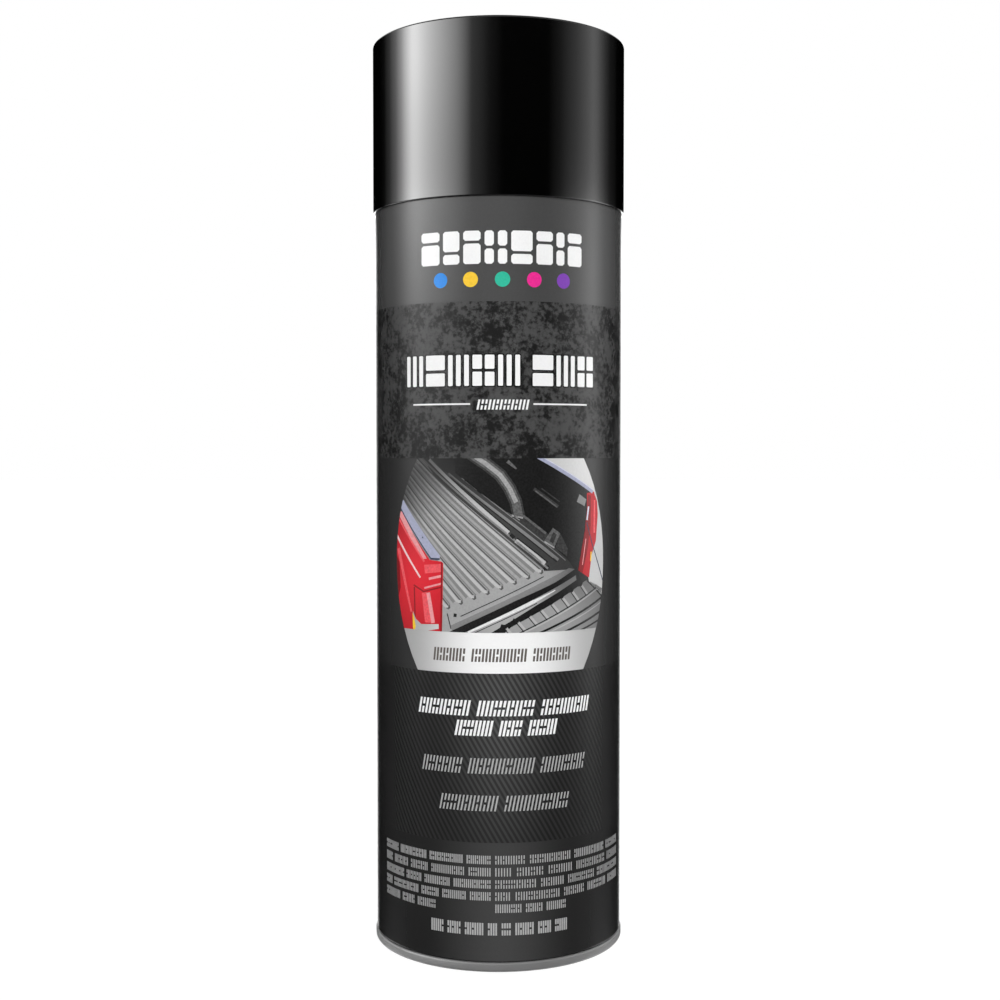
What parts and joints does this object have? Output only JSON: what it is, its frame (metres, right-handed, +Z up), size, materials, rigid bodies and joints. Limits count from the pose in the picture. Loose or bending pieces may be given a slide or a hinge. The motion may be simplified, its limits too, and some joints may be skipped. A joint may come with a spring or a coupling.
{
  "type": "spray can of truck bed liner coating",
  "caption": "Round spray can with a domed base, seamed ends, push-down spray valve, loose mixing balls and a straight-sided push-on overcap.",
  "frame": {"origin": "centre of the circle that the bottom seam stands on", "axes": "+Z up the can's axis; the spray nozzle and the front of the print face -Y"},
  "size_m": [0.0672, 0.0672, 0.238],
  "materials": {
    "printed_tinplate": "satin",
    "end_tinplate": "satin",
    "sealing_compound": "matte",
    "cup_tinplate": "satin",
    "gasket_rubber": "matte",
    "valve_plastic": "satin",
    "spring_wire": "polished",
    "tube_plastic": "satin",
    "actuator_plastic": "satin",
    "insert_plastic": "satin",
    "cap_plastic": "gloss",
    "ball_steel": "polished",
    "liquid_coating": "gloss"
  },
  "bodies": {
    "can": {"can_body": "printed_tinplate", "base_end": "end_tinplate", "base_seam_compound": "sealing_compound", "top_dome": "end_tinplate", "top_seam_compound": "sealing_compound", "mounting_cup": "cup_tinplate", "cup_gasket": "gasket_rubber", "stem_gasket": "gasket_rubber", "valve_housing": "valve_plastic", "valve_spring": "spring_wire", "dip_tube": "tube_plastic", "coating_fill": "liquid_coating"},
    "stem": {"valve_stem": "valve_plastic"},
    "actuator": {"actuator_button": "actuator_plastic", "spray_insert": "insert_plastic"},
    "cap": {"overcap": "cap_plastic"},
    "ball_a": {"mixing_ball_a": "ball_steel"},
    "ball_b": {"mixing_ball_b": "ball_steel"}
  },
  "joints": [
    {"name": "cap_pull", "type": "slide", "parent": "can", "child": "cap", "axis": [0, 0, 1], "range_m": [0, 0.05]},
    {"name": "valve_press", "type": "slide", "parent": "can", "child": "stem", "axis": [0, 0, -1], "range_m": [0, 0.0015], "stiffness_N_per_m": 8000, "springref_m": -0.001, "deforming": ["valve_spring"]},
    {"name": "actuator_turn", "type": "hinge", "parent": "stem", "child": "actuator", "pos_m": [0, 0, 0.2182], "axis": [0, 0, 1], "continuous": true},
    {"name": "ball_a_travel", "type": "slide", "parent": "can", "child": "ball_a", "axis": [0, 0, 1], "range_m": [0, 0.179]},
    {"name": "ball_b_travel", "type": "slide", "parent": "can", "child": "ball_b", "axis": [0, 0, 1], "range_m": [0, 0.179]}
  ]
}
